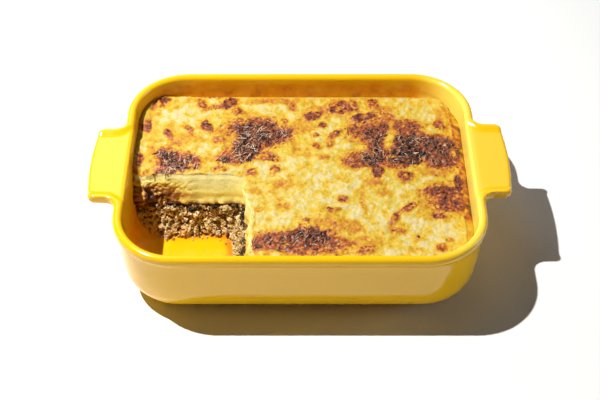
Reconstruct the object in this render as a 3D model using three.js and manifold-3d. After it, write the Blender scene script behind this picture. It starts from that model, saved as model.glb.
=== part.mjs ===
// A rectangular ceramic baking dish with a tab handle at each short side, filled with cottage pie.
// One portion is cut out at the front left, down to the bare bottom of the dish.
// Millimetres, +Z up, +X along the handles, +Y to the back. The origin is under the middle of the dish.
// Each piece is worked out from the sizes below: the rings of the dish, the two layers of the pie,
// the space that the missing portion left, and the crumbs of mince that lie open in it.

import * as THREE from 'three';
import { mergeVertices } from 'three/addons/utils/BufferGeometryUtils.js';
import { LoftGeometry } from 'three/addons/geometries/LoftGeometry.js';
import Module from 'manifold-3d';

const wasm = await Module();
wasm.setup();

// Dish
const RIM_LENGTH = 256;
const RIM_DEPTH = 192;
const RIM_HEIGHT = 66;
const RIM_WIDTH = 6.4;
const CORNER_RADIUS = 44;
const CORNER_STEPS = 11;
const LIP_HEIGHT = 6;
const LIP_OVERHANG = 1;
const WALL_TAPER = 4;
const BASE_CURVE = 24;
const FLOOR_THICKNESS = 6;
const FLOOR_CURVE = 20;
const CURVE_STEPS = 6;
const LIP_STEPS = 4;

// Handles
const HANDLE_REACH = 149.5;
const HANDLE_BOW = 2.2;
const HANDLE_WIDTH = 70;
const HANDLE_THICKNESS = 6.5;
const HANDLE_DROP = 0.2;
const HANDLE_CORNER = 4;
const HANDLE_FILLET = 8;
const HANDLE_EDGE = 1.6;
const HANDLE_SHIFTS = { left: -2.5, right: 2.5 };
const HANDLE_DIP = 2;
const HANDLE_LIP = 6;

// Pie
const GAP = 0.35;
const CRUST_LEVEL = 51;
const MASH_BOTTOM = 30;
const MINCE_TOP = MASH_BOTTOM - GAP;
const MINCE_BOTTOM = FLOOR_THICKNESS + GAP;
const CRUST_CELL = 5;
const CRUST_SWELL = 0.8;
const CRUST_EDGE_FALL = { back: 0.8, front: 3.4 };
const CRUST_EDGE_REACH = 9;
const CRUST_CORNER_RISE = 13;
const CRUST_CORNER_REACH = 50;
const SHRINK_FROM_WALL = 0.6;

// Edges of the crust in plan: it shrank from the wall as it baked, most at the left
const CRUST_LEFT = { front: -119.4, back: -113.5 };
const CRUST_RIGHT = { front: 114.6, middle: 117.2, back: 114 };
const CRUST_BACK = { left: 85.4, right: 83 };
const CRUST_CORNER = 21;
const CRUST_CURVE_STEPS = 6;

// Space of the missing portion: where its back face and its right face stand at each level.
// The mash leans forward to its foot, and the mince has crumbled back under it.
const CRUST_CUT = { back: 0, right: -39.3 };
const MASH_FOOT = { back: -11, right: -40 };
const MINCE_HEAD = { back: -8.5, right: -41 };
const MINCE_TOE = { back: -18.5, right: -49 };
const CUT_SKEW = 0.045;
const CUT_CORNER = 6;
const CUT_WAVE = 0.5;

// Crumbs of mince and scraps of mash
const CRUMB_RADIUS = [2.1, 3.3];
const CRUMB_SPACING = 5.6;
const CRUMB_ROWS = 5;
const SCRAP_COUNT = 9;
const SCRAP_RADIUS = [2.4, 4.2];
const SCRAP_REACH = 5;

// Half of the size of the rim
const HALF_LENGTH = RIM_LENGTH / 2;
const HALF_DEPTH = RIM_DEPTH / 2;

// Far enough to pass right through a piece
const BEYOND = 20;

// A repeatable row of numbers between 0 and 1
function randomRow(seed) {
  let state = seed;
  return () => {
    state = (state * 1664525 + 1013904223) % 4294967296;
    return state / 4294967296;
  };
}

// A three.js geometry as a closed solid with shared vertices and no empty triangles
function solid(geometry) {
  const bare = new THREE.BufferGeometry();
  bare.setAttribute('position', geometry.attributes.position);
  bare.setIndex(geometry.index);
  const merged = mergeVertices(bare, 1e-4);
  const index = merged.index.array;
  const kept = [];
  for (let i = 0; i < index.length; i += 3) {
    const [a, b, c] = [index[i], index[i + 1], index[i + 2]];
    if (a !== b && b !== c && c !== a) kept.push(a, b, c);
  }
  return new wasm.Manifold(new wasm.Mesh({
    numProp: 3,
    vertProperties: new Float32Array(merged.attributes.position.array),
    triVerts: new Uint32Array(kept),
  }));
}

// The largest connected body of a solid, so that no loose scrap stays beside it
function largestBody(piece) {
  const bodies = piece.decompose();
  return bodies.reduce((best, body) => (body.volume() > best.volume() ? body : best));
}

// A solid as a named three.js mesh with its own material
function meshOf(name, piece, material) {
  const { vertProperties, triVerts } = piece.getMesh();
  const geometry = new THREE.BufferGeometry();
  geometry.setAttribute('position', new THREE.BufferAttribute(new Float32Array(vertProperties), 3));
  geometry.setIndex(new THREE.BufferAttribute(new Uint32Array(triVerts), 1));
  geometry.computeVertexNormals();
  const mesh = new THREE.Mesh(geometry, new THREE.MeshStandardMaterial(material));
  mesh.name = name;
  return mesh;
}

// The rounded rectangle of the rim, moved inwards by an inset and set at a level
function ring(inset, level) {
  const radius = CORNER_RADIUS - Math.min(inset, CORNER_RADIUS - 1);
  const x = HALF_LENGTH - inset - radius;
  const y = HALF_DEPTH - inset - radius;
  const points = [];
  [[x, y], [-x, y], [-x, -y], [x, -y]].forEach(([cx, cy], quarter) => {
    for (let step = 0; step <= CORNER_STEPS; step += 1) {
      const angle = (quarter + step / CORNER_STEPS) * Math.PI / 2;
      points.push(new THREE.Vector3(cx + radius * Math.cos(angle), cy + radius * Math.sin(angle), level));
    }
  });
  return points;
}

// A closed loft through rings, from the lowest to the highest
function lofted(rings) {
  return solid(new LoftGeometry(rings, { capStart: true, capEnd: true }));
}

// How far the wall stands in from the rim's outline at a level, without its lower curve
function taperAt(level) {
  return WALL_TAPER * (1 - level / RIM_HEIGHT);
}

// How far a quarter circle of a given radius has come in at a height above its foot
function curveIn(radius, height) {
  const up = THREE.MathUtils.clamp(1 - height / radius, 0, 1);
  return radius * (1 - Math.sqrt(1 - up * up));
}

// Heights that follow a quarter circle in even steps, from its foot up
function curveHeights(radius) {
  const heights = [];
  for (let step = 0; step <= CURVE_STEPS; step += 1) {
    heights.push(radius * (1 - Math.cos(step / CURVE_STEPS * Math.PI / 2)));
  }
  return heights;
}

// Levels of the rings inside the dish, from its floor to the foot of the round lip
const CAVITY_LEVELS = curveHeights(FLOOR_CURVE).map((height) => FLOOR_THICKNESS + height);
CAVITY_LEVELS.push(RIM_HEIGHT - RIM_WIDTH / 2);

// Inside of the dish at a level, as an inset from the rim's outline, straight from ring to ring
function cavityInset(level) {
  const insetAt = (at) => RIM_WIDTH + taperAt(at) + curveIn(FLOOR_CURVE, at - FLOOR_THICKNESS);
  const upper = Math.max(1, CAVITY_LEVELS.findIndex((at) => at >= level));
  const [low, high] = [CAVITY_LEVELS[upper - 1], CAVITY_LEVELS[upper]];
  const share = (level - low) / (high - low);
  return THREE.MathUtils.lerp(insetAt(low), insetAt(high), share);
}

// The full body of the dish: the curved foot, the wall, and the lip that stands a little proud
function dishOutside() {
  const rings = curveHeights(BASE_CURVE).map((height) => {
    return ring(taperAt(height) + curveIn(BASE_CURVE, height) + LIP_OVERHANG, height);
  });
  const lipFoot = RIM_HEIGHT - LIP_HEIGHT;
  const half = RIM_WIDTH / 2;
  rings.push(ring(taperAt(lipFoot) + LIP_OVERHANG, lipFoot - LIP_OVERHANG));
  rings.push(ring(0, lipFoot + LIP_OVERHANG));
  for (let step = 0; step <= LIP_STEPS; step += 1) {
    const angle = step / LIP_STEPS * Math.PI / 2;
    rings.push(ring(half * (1 - Math.cos(angle)), RIM_HEIGHT - half + half * Math.sin(angle)));
  }
  return lofted(rings);
}

// The space inside the dish, flared at the top into the round inner side of the lip
function dishInside() {
  const rings = CAVITY_LEVELS.map((level) => ring(cavityInset(level), level));
  const half = RIM_WIDTH / 2;
  for (let step = 1; step < LIP_STEPS; step += 1) {
    const angle = step / LIP_STEPS * Math.PI / 2;
    rings.push(ring(half * (1 + Math.cos(angle)), RIM_HEIGHT - half + half * Math.sin(angle)));
  }
  rings.push(ring(half, RIM_HEIGHT));
  rings.push(ring(half, RIM_HEIGHT + BEYOND));
  return lofted(rings);
}

// Outline of the right handle seen from above: fillets at the wall and a bowed outer edge
function handleOutline() {
  const half = HANDLE_WIDTH / 2 - HANDLE_EDGE;
  const wall = HALF_LENGTH - HANDLE_EDGE;
  const reach = HANDLE_REACH - HANDLE_BOW - HANDLE_EDGE;
  const outline = new THREE.Shape();
  outline.moveTo(wall - RIM_WIDTH / 2, -half - HANDLE_FILLET);
  outline.lineTo(wall, -half - HANDLE_FILLET);
  outline.quadraticCurveTo(wall + 1, -half, wall + HANDLE_FILLET + 1, -half);
  outline.lineTo(reach - HANDLE_CORNER, -half);
  outline.quadraticCurveTo(reach, -half, reach + HANDLE_BOW / 4, -half + HANDLE_CORNER);
  outline.quadraticCurveTo(reach + HANDLE_BOW * 2, 0, reach + HANDLE_BOW / 4, half - HANDLE_CORNER);
  outline.quadraticCurveTo(reach, half, reach - HANDLE_CORNER, half);
  outline.lineTo(wall + HANDLE_FILLET + 1, half);
  outline.quadraticCurveTo(wall + 1, half, wall, half + HANDLE_FILLET);
  outline.lineTo(wall - RIM_WIDTH / 2, half + HANDLE_FILLET);
  return outline;
}

// The shallow trough along the top of a handle and through the rim, between raised short sides
function handleTrough() {
  const half = HANDLE_WIDTH / 2 - HANDLE_LIP;
  const section = new THREE.Shape();
  section.moveTo(-half - HANDLE_LIP / 2, HANDLE_DIP);
  section.quadraticCurveTo(-half, 0, -half + HANDLE_LIP, 0);
  section.lineTo(half - HANDLE_LIP, 0);
  section.quadraticCurveTo(half, 0, half + HANDLE_LIP / 2, HANDLE_DIP);
  section.lineTo(half + HANDLE_LIP / 2, BEYOND);
  section.lineTo(-half - HANDLE_LIP / 2, BEYOND);
  const trough = new THREE.ExtrudeGeometry(section, { depth: BEYOND * 2, bevelEnabled: false, curveSegments: 5 });
  trough.rotateX(Math.PI / 2);
  trough.rotateZ(Math.PI / 2);
  trough.translate(HALF_LENGTH - RIM_WIDTH - GAP, 0, RIM_HEIGHT - HANDLE_DROP - HANDLE_DIP);
  return solid(trough);
}

// One handle: a slab almost level with the rim, with rounded edges
function handleSlab() {
  const slab = new THREE.ExtrudeGeometry(handleOutline(), {
    depth: HANDLE_THICKNESS - 2 * HANDLE_EDGE,
    bevelEnabled: true,
    bevelThickness: HANDLE_EDGE,
    bevelSize: HANDLE_EDGE,
    bevelSegments: 2,
    curveSegments: 5,
  });
  slab.translate(0, 0, RIM_HEIGHT - HANDLE_DROP - HANDLE_THICKNESS + HANDLE_EDGE);
  return solid(slab);
}

function bakingDish() {
  const onRight = (piece) => piece.translate([0, HANDLE_SHIFTS.right, 0]);
  const onLeft = (piece) => piece.rotate([0, 0, 180]).translate([0, HANDLE_SHIFTS.left, 0]);
  const full = dishOutside().add(onRight(handleSlab())).add(onLeft(handleSlab()));
  const troughed = full.subtract(onRight(handleTrough())).subtract(onLeft(handleTrough()));
  return troughed.subtract(dishInside());
}

// What fills the dish between two levels below the lip, standing off its wall by a gap
function filling(low, high, gap) {
  const between = CAVITY_LEVELS.filter((level) => level > low && level < high);
  const levels = [low, ...between, high];
  return lofted(levels.map((level) => ring(cavityInset(level) + gap, level)));
}

// Distance from a point to the dish's inner wall at the crust, positive inside
function distanceToWall(x, y) {
  const inset = cavityInset(CRUST_LEVEL);
  const radius = CORNER_RADIUS - inset;
  const dx = Math.abs(x) - (HALF_LENGTH - inset - radius);
  const dy = Math.abs(y) - (HALF_DEPTH - inset - radius);
  const outside = Math.hypot(Math.max(dx, 0), Math.max(dy, 0));
  return radius - outside - Math.min(Math.max(dx, dy), 0);
}

// How far the crust has climbed up the two back corners, where the cheese clings to the dish
function cornerRise(x, y) {
  const clamp = THREE.MathUtils.clamp;
  const alongX = clamp((Math.abs(x) - HALF_LENGTH + CRUST_CORNER_REACH) / CRUST_CORNER_REACH, 0, 1);
  const alongY = clamp((y - HALF_DEPTH + CRUST_CORNER_REACH) / CRUST_CORNER_REACH, 0, 1);
  return CRUST_CORNER_RISE * alongX ** 2 * alongY ** 2;
}

// Height of the crust: broad swells, smaller crags, and a fall towards the wall, most at the front
function crustHeight(x, y) {
  const swell = Math.sin(x / 23 + 1.3 * Math.sin(y / 31)) * Math.cos(y / 19 - 0.8 * Math.sin(x / 37));
  const crag = Math.sin(x / 5.1 + 2 * Math.sin(y / 9.7)) * Math.sin(y / 4.3 + 1.7 * Math.sin(x / 11.3));
  const near = THREE.MathUtils.clamp(1 - distanceToWall(x, y) / CRUST_EDGE_REACH, 0, 1);
  const toFront = THREE.MathUtils.smoothstep(-y, -HALF_DEPTH, HALF_DEPTH);
  const fall = THREE.MathUtils.lerp(CRUST_EDGE_FALL.back, CRUST_EDGE_FALL.front, toFront) * near ** 2;
  return CRUST_LEVEL + CRUST_SWELL * (swell + 0.5 * crag) + cornerRise(x, y) - fall;
}

// A block whose top face follows the crust
function crustBlock() {
  const columns = Math.round(RIM_LENGTH / CRUST_CELL);
  const rows = Math.round(RIM_DEPTH / CRUST_CELL);
  const block = new THREE.BoxGeometry(RIM_LENGTH, RIM_DEPTH, 1, columns, rows, 1);
  const position = block.attributes.position;
  for (let i = 0; i < position.count; i += 1) {
    const onTop = position.getZ(i) > 0;
    const level = onTop ? crustHeight(position.getX(i), position.getY(i)) : 0;
    position.setZ(i, level);
  }
  return solid(block);
}

// The plan of the crust as an upright block, which trims the mash to it
function crustPrism() {
  const left = CRUST_LEFT;
  const right = CRUST_RIGHT;
  const back = CRUST_BACK;
  const plan = new THREE.Shape();
  plan.moveTo(left.front, -HALF_DEPTH);
  plan.lineTo(left.front, 0);
  plan.quadraticCurveTo(left.back, HALF_DEPTH / 2, left.back, back.left - CRUST_CORNER);
  plan.quadraticCurveTo(left.back, back.left, left.back + CRUST_CORNER, back.left);
  plan.lineTo(right.back - CRUST_CORNER, back.right);
  plan.quadraticCurveTo(right.back, back.right, right.back, back.right - CRUST_CORNER);
  plan.quadraticCurveTo(2 * right.middle - right.back, CRUST_CORNER, right.middle, -CRUST_CORNER);
  plan.quadraticCurveTo(right.front, -HALF_DEPTH / 2, right.front, -HALF_DEPTH);
  return solid(new THREE.ExtrudeGeometry(plan, {
    depth: RIM_HEIGHT,
    bevelEnabled: false,
    curveSegments: CRUST_CURVE_STEPS,
  }));
}

// A ring round the missing portion at one level, open past the dish at its left and front
function portionRing({ back, right }, level, seed) {
  const random = randomRow(seed);
  const wave = () => (random() - 0.5) * 2 * CUT_WAVE;
  const far = [-HALF_LENGTH - BEYOND, -HALF_DEPTH - BEYOND];
  const points = [new THREE.Vector3(far[0], far[1], level)];
  const frontSteps = 16;
  for (let step = 0; step <= frontSteps; step += 1) {
    const y = THREE.MathUtils.lerp(far[1], back - CUT_CORNER, step / frontSteps);
    points.push(new THREE.Vector3(right - CUT_SKEW * y + wave(), y, level));
  }
  const cornerSteps = 3;
  for (let step = 1; step <= cornerSteps; step += 1) {
    const angle = step / (cornerSteps + 1) * Math.PI / 2;
    const x = right - CUT_CORNER * (1 - Math.cos(angle));
    points.push(new THREE.Vector3(x, back - CUT_CORNER * (1 - Math.sin(angle)), level));
  }
  const backSteps = 18;
  for (let step = 0; step <= backSteps; step += 1) {
    const x = THREE.MathUtils.lerp(right - CUT_CORNER, far[0], step / backSteps);
    points.push(new THREE.Vector3(x, back + wave(), level));
  }
  return points;
}

// The space cut out of the mash and its crust
function mashSpace() {
  return lofted([
    portionRing(MASH_FOOT, MASH_BOTTOM - 1, 11),
    portionRing(CRUST_CUT, CRUST_LEVEL, 12),
    portionRing(CRUST_CUT, RIM_HEIGHT, 13),
  ]);
}

// The space cut out of the mince
function minceSpace() {
  return lofted([
    portionRing(MINCE_TOE, MINCE_BOTTOM - 1, 14),
    portionRing(MINCE_HEAD, MINCE_TOP + 1, 15),
  ]);
}

// A small uneven lump with few sides
function lump(random, radii, place) {
  const radius = THREE.MathUtils.lerp(radii[0], radii[1], random());
  const shape = new THREE.IcosahedronGeometry(radius, 0);
  shape.scale(0.8 + 0.7 * random(), 0.75 + 0.4 * random(), 0.7 + 0.4 * random());
  shape.rotateX(random() * Math.PI);
  shape.rotateZ(random() * Math.PI * 2);
  shape.translate(place.x, place.y, place.z);
  return solid(shape);
}

// Crumbs in staggered rows down the two open slopes of the mince
function crumbs() {
  const random = randomRow(29);
  const pieces = [];
  const shake = () => (random() - 0.5) * CRUMB_SPACING * 0.7;
  for (let row = 0; row < CRUMB_ROWS; row += 1) {
    const down = (row + 0.4) / CRUMB_ROWS;
    const level = THREE.MathUtils.lerp(MINCE_TOP - 1, MINCE_BOTTOM, down);
    const back = THREE.MathUtils.lerp(MINCE_HEAD.back, MINCE_TOE.back, down);
    const right = THREE.MathUtils.lerp(MINCE_HEAD.right, MINCE_TOE.right, down);
    for (let x = right; x > -HALF_LENGTH; x -= CRUMB_SPACING) {
      const place = new THREE.Vector3(x + shake(), back + shake() * 0.6, level + shake() * 0.4);
      pieces.push(lump(random, CRUMB_RADIUS, place));
    }
    for (let y = back - CRUMB_SPACING; y > -HALF_DEPTH; y -= CRUMB_SPACING) {
      const x = right - CUT_SKEW * y + shake() * 0.6;
      const place = new THREE.Vector3(x, y + shake(), level + shake() * 0.4);
      pieces.push(lump(random, CRUMB_RADIUS, place));
    }
  }
  return pieces;
}

// The mince: a flat bed under the mash whose open edge is a slope of crumbs
function minceLayer() {
  const bed = filling(MINCE_BOTTOM, MINCE_TOP, GAP);
  const heap = wasm.Manifold.union([bed.subtract(minceSpace()), ...crumbs()]);
  return largestBody(heap.intersect(bed));
}

// Scraps of mash and crust that stay on the wall at the left end of the cut
function scraps() {
  const random = randomRow(47);
  const pieces = [];
  for (let i = 0; i < SCRAP_COUNT; i += 1) {
    const down = (i + 0.5) / SCRAP_COUNT;
    const x = -HALF_LENGTH + RIM_WIDTH + THREE.MathUtils.lerp(3, 11, random());
    const y = THREE.MathUtils.lerp(CRUST_CUT.back, MASH_FOOT.back, down) - SCRAP_REACH * random();
    const z = THREE.MathUtils.lerp(CRUST_LEVEL - 4, MASH_BOTTOM + 3, down);
    pieces.push(lump(random, SCRAP_RADIUS, new THREE.Vector3(x, y, z)));
  }
  return pieces;
}

// The mashed potato with its crust, cut open at the missing portion
function potatoLayer() {
  const room = filling(MASH_BOTTOM, RIM_HEIGHT, GAP + SHRINK_FROM_WALL).intersect(crustPrism());
  const layer = crustBlock().intersect(room).subtract(mashSpace());
  const ragged = wasm.Manifold.union([layer, ...scraps()]);
  return largestBody(ragged.intersect(room));
}

const pie = new THREE.Group();
pie.add(meshOf('baking_dish', bakingDish(), { color: 0xf6cf1e, roughness: 0.12, metalness: 0 }));
pie.add(meshOf('mince_layer', minceLayer(), { color: 0x8a6543, roughness: 0.6, metalness: 0 }));
pie.add(meshOf('potato_layer', potatoLayer(), { color: 0xe9c766, roughness: 0.55, metalness: 0 }));

export default pie;
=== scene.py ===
# %% [markdown]
# A cottage pie in its own baking dish: a yellow glazed dish, a layer of mince, and mashed potato
# under a browned cheese crust. One portion is cut out at the front left.
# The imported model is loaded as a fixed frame, and each of its three solids is dressed with finer pieces.

# %% Load the frame
import bpy
import bmesh
import math
import numpy as np
from mathutils import Matrix, Vector, noise
from mathutils.bvhtree import BVHTree


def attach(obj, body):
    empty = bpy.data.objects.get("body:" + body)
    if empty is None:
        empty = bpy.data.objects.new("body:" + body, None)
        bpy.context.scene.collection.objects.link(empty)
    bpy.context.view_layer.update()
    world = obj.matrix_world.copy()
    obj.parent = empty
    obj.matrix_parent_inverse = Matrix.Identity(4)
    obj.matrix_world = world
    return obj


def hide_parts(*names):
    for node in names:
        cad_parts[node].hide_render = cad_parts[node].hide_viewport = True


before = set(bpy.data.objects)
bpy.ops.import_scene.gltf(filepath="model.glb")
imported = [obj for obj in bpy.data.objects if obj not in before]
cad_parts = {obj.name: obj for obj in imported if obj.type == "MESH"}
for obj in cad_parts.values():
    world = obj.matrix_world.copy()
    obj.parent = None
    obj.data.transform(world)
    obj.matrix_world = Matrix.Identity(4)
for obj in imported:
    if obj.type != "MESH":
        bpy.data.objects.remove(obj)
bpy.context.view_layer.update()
print("nodes:", sorted(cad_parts))

# %% [markdown]
# Everything is placed in metres, but a dish is easier to think of in millimetres.
# The first helpers are for materials: one turns a hex colour to linear, one fills in the inputs of a
# node, and one adds a node. An input that is another node's output gets linked, and a plain value is
# set. In a list, the inputs stand in order: a map range has its value, the range that this comes from
# and the range that it goes to.

# %% Helpers for materials
MM = 0.001


def linear(hex_colour):
    """An sRGB hex colour as linear red, green, blue and alpha."""
    parts = [int(hex_colour[i:i + 2], 16) / 255 for i in (1, 3, 5)]
    return [p / 12.92 if p <= 0.04045 else ((p + 0.055) / 1.055) ** 2.4 for p in parts] + [1.0]


def fill_in(node, inputs):
    """Links or sets a node's inputs, given by name or number, or as a list in order."""
    for key, value in inputs.items() if isinstance(inputs, dict) else enumerate(inputs):
        if isinstance(value, bpy.types.NodeSocket):
            node.id_data.links.new(value, node.inputs[key])
        else:
            node.inputs[key].default_value = value


def add_node(paint, kind, inputs=(), out=0, stops=(), **settings):
    """Adds a node with its settings, inputs and colour stops to a material, and gives one output."""
    node = paint.node_tree.nodes.new("ShaderNode" + kind)
    for name, value in settings.items():
        setattr(node, name, value)
    for index, (position, colour) in enumerate(stops):
        elements = node.color_ramp.elements
        element = elements[index] if index < 2 else elements.new(position)
        element.position, element.color = position, linear(colour)
    fill_in(node, inputs)
    return node.outputs[out]


def new_material(name, inputs):
    """A material with one Principled shader, and that shader."""
    paint = bpy.data.materials.new(name)
    paint.use_nodes = True
    shader = paint.node_tree.nodes["Principled BSDF"]
    fill_in(shader, inputs)
    return paint, shader


# %% [markdown]
# The others are for pieces: they add one, select it, open it in edit mode, and finish it.

# %% Helpers for pieces
def deselect_all():
    """Leaves object mode tidy: nothing selected."""
    bpy.ops.object.select_all(action="DESELECT")


def activate(piece):
    """Makes a piece the only selected and active object."""
    deselect_all()
    piece.select_set(True)
    bpy.context.view_layer.objects.active = piece


def add_object(name, data):
    """Adds an object to the scene."""
    added = bpy.data.objects.new(name, data)
    bpy.context.scene.collection.objects.link(added)
    return added


def open_edit(piece, kind, action):
    """Opens a piece in edit mode, selects or deselects all of one kind, and gives its mesh."""
    activate(piece)
    bpy.ops.object.mode_set(mode="EDIT")
    bpy.ops.mesh.select_mode(type=kind)
    bpy.ops.mesh.select_all(action=action)
    return bmesh.from_edit_mesh(piece.data)


def finish_piece(piece, name, paint, replaced=(), smooth=True):
    """Names a piece, gives it its material, and ties it to the frame."""
    activate(piece)
    if smooth:
        bpy.ops.object.shade_smooth()
    piece.name = name
    piece.data.name = name
    piece.data.materials.clear()
    piece.data.materials.append(paint)
    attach(piece, "root")
    if replaced:
        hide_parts(*replaced)
    print(f"{name}: {len(piece.data.vertices)} vertices, {len(piece.data.polygons)} faces")


# %% [markdown]
# The photograph was taken from a little above half height, straight in front of the dish.
# The camera's height, distance and lens come from the outlines of the rim and of the base.

# %% Camera
CAMERA_ANGLE = math.radians(46)
CAMERA_DISTANCE = 0.8026
CAMERA_AIM = Vector((0, -0.04045, 0.066))
CAMERA_LENS = 70.1
SENSOR_WIDTH = 36

camera_data = bpy.data.cameras.new("Camera")
camera_data.lens = CAMERA_LENS
camera_data.sensor_width = SENSOR_WIDTH
camera = add_object("Camera", camera_data)
camera_back = Vector((0, -math.cos(CAMERA_ANGLE), math.sin(CAMERA_ANGLE)))
camera.location = CAMERA_AIM + CAMERA_DISTANCE * camera_back
camera.rotation_euler = (math.pi / 2 - CAMERA_ANGLE, 0, 0)
bpy.context.scene.camera = camera
print("camera at", [round(c, 3) for c in camera.location])

# %% [markdown]
# The light in the photograph is one strong lamp at the left, a little behind the middle of the dish,
# which throws a dark shadow to the right and front, and white surroundings that fill the shade softly.
# Two white cards behind the dish and one far to the right give the glaze its soft sheen.

# %% Lights and floor
LAMP_PLACE = (-0.495, 0.065, 1.011)
LAMP_RADIUS = 0.010
LAMP_POWER = 76
LAMP_TINT = (1.0, 0.985, 0.955)
FILL_TINT = linear("#DCE8FF")
FILL_STRENGTH = 0.024
CARDS = [((-0.36, 0.80, 0.80), 0.42, 1.3), ((0.36, 0.80, 0.80), 0.42, 0.5), ((2.00, 0.10, 0.36), 0.7, 7.5)]
CARD_TINT = (0.86, 0.93, 1.0)
FLOOR_SIZE = 6


def add_light(name, kind, place, power, tint):
    """Adds one light to the scene."""
    data = bpy.data.lights.new(name, kind)
    data.energy = power
    data.color = tint
    light = add_object(name, data)
    light.location = place
    return light


lamp = add_light("Studio lamp", "POINT", LAMP_PLACE, LAMP_POWER, LAMP_TINT)
lamp.data.shadow_soft_size = LAMP_RADIUS
for card_place, card_size, card_power in CARDS:
    card = add_light("White card", "AREA", card_place, card_power, CARD_TINT)
    card.data.size = card_size
    card.rotation_euler = (-Vector(card_place)).to_track_quat("-Z", "Y").to_euler()

world = bpy.data.worlds.new("White studio")
bpy.context.scene.world = world
world.use_nodes = True
fill_in(world.node_tree.nodes["Background"], {"Color": FILL_TINT, "Strength": FILL_STRENGTH})
bpy.context.scene.view_settings.view_transform = "Standard"

deselect_all()
bpy.ops.mesh.primitive_plane_add(size=FLOOR_SIZE, location=(0, 0, 0))
floor = bpy.context.object
floor.name = "studio_floor"
floor_paint, _ = new_material("Matt white paper", {"Base Color": linear("#F3F3F2"), "Roughness": 0.9})
floor.data.materials.append(floor_paint)
print("one lamp,", len(CARDS), "cards and a floor of", FLOOR_SIZE, "m")

# %% [markdown]
# The dish is one fired piece. On the real thing the glaze rounds every edge, and the lip runs on into
# the raised short sides of the handles. So the whole dish is drawn as one loop of points that is
# extruded again and again: out over the base, up the wall, under and over the lip and its handles,
# and down inside to the floor. Each spot of the loop knows its place in plan, so a spot on a handle
# simply swings further out than one on the lip.

# %% Sizes of the dish, in millimetres
# Measured in the photograph; the scale is that of a family baking dish with a rim of 256 x 192 mm.
RIM_HALF_LENGTH = 128
RIM_HALF_DEPTH = 96
RIM_HEIGHT = 66
RIM_WIDTH = 6.4
CORNER_RADIUS = 44
WALL_TAPER = 4
WALL_LEVELS = (34, 44, 52, 57)
WELL_LEVELS = (58, 52, 44, 35)
LIP_OVERHANG = 1.2
LIP_UNDERSIDE_ROUND = 1.8
BASE_INSETS = (40, 31)
BASE_CURVE = 24
FLOOR_INSET = 41
FLOOR_THICKNESS = 6
FLOOR_CURVE = 20
CORNER_SPOTS = 16
LONG_SIDE_SPOTS = 22
SHORT_SIDE_SPOTS = 76
HANDLE_HALF_WIDTH = 35
HANDLE_FILLET = 8
HANDLE_CORNER = 4
HANDLE_REACH = 149.5
HANDLE_BOW = 2.2
HANDLE_SHIFT = 2.5
HANDLE_UNDERSIDE = 59.2
HANDLE_EDGE_ROUND = 2.3
HANDLE_DIP = 2.0
BEAD_WIDTH = 2.6
BEAD_FALL = 4.2

print("rim", 2 * RIM_HALF_LENGTH, "x", 2 * RIM_HALF_DEPTH, "mm, handles reach", 2 * HANDLE_REACH, "mm")

# %% [markdown]
# Each handle is a flat tab. In plan it leaves the rim in a fillet, turns a tight corner, and its outer
# edge bows out slightly. Half of that outline is built from two arcs and a curve, and then mirrored.

# %% Outline of a handle
def even_step(low, high, value):
    """0 at low, 1 at high, and an even S curve between them; also for many values at once."""
    share = np.clip((value - low) / (high - low), 0, 1)
    return share * share * (3 - 2 * share)


def arc(centre, radius, start_degrees, end_degrees, steps):
    """Points along an arc, in plan."""
    angles = np.radians(np.linspace(start_degrees, end_degrees, steps + 1))
    return [Vector((centre[0] + radius * math.cos(a), centre[1] + radius * math.sin(a))) for a in angles]


def handle_outline():
    """Half of the right handle's outline, from the wall in front to the middle of the outer edge."""
    half, fillet, corner = HANDLE_HALF_WIDTH, HANDLE_FILLET, HANDLE_CORNER
    outer = HANDLE_REACH - HANDLE_BOW
    points = arc((RIM_HALF_LENGTH + fillet, -half - fillet), fillet, 180, 90, 10)
    points += arc((outer - corner, -half + corner), corner, -90, 0, 6)
    for step in range(1, 9):
        y = (-half + corner) * (1 - step / 8)
        points.append(Vector((HANDLE_REACH - HANDLE_BOW * (y / (half - corner)) ** 2, y)))
    return points


def on_outline(share):
    """The point at a share of the way round the right handle's outline."""
    run = share * OUTLINE_RUN[-1]
    return Vector([float(np.interp(run, OUTLINE_RUN, [p[i] for p in OUTLINE])) for i in (0, 1)])


def distance_to_sides(x, y):
    """Distance in plan to the nearer short side of the right handle, with its fillet."""
    point = Vector((x, -abs(y)))
    best = math.inf
    for a, b in zip(SIDE_LINE, SIDE_LINE[1:]):
        along = b - a
        share = min(1.0, max(0.0, (point - a).dot(along) / along.length_squared))
        best = min(best, (point - a - share * along).length)
    return best


HALF_OUTLINE = handle_outline()
# The short side ends halfway round the corner, 14 points along.
SIDE_LINE = HALF_OUTLINE[:14]
OUTLINE = HALF_OUTLINE + [Vector((p.x, -p.y)) for p in reversed(HALF_OUTLINE[:-1])]
OUTLINE_RUN = np.concatenate([[0], np.cumsum([(b - a).length for a, b in zip(OUTLINE, OUTLINE[1:])])])
print("points round a handle:", len(OUTLINE))

# %% [markdown]
# Next comes the loop itself. A spot keeps three things: where its corner's centre is, which way is
# outwards, and where the outer edge of lip or handle lies. With these, one formula draws every ring.

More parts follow.
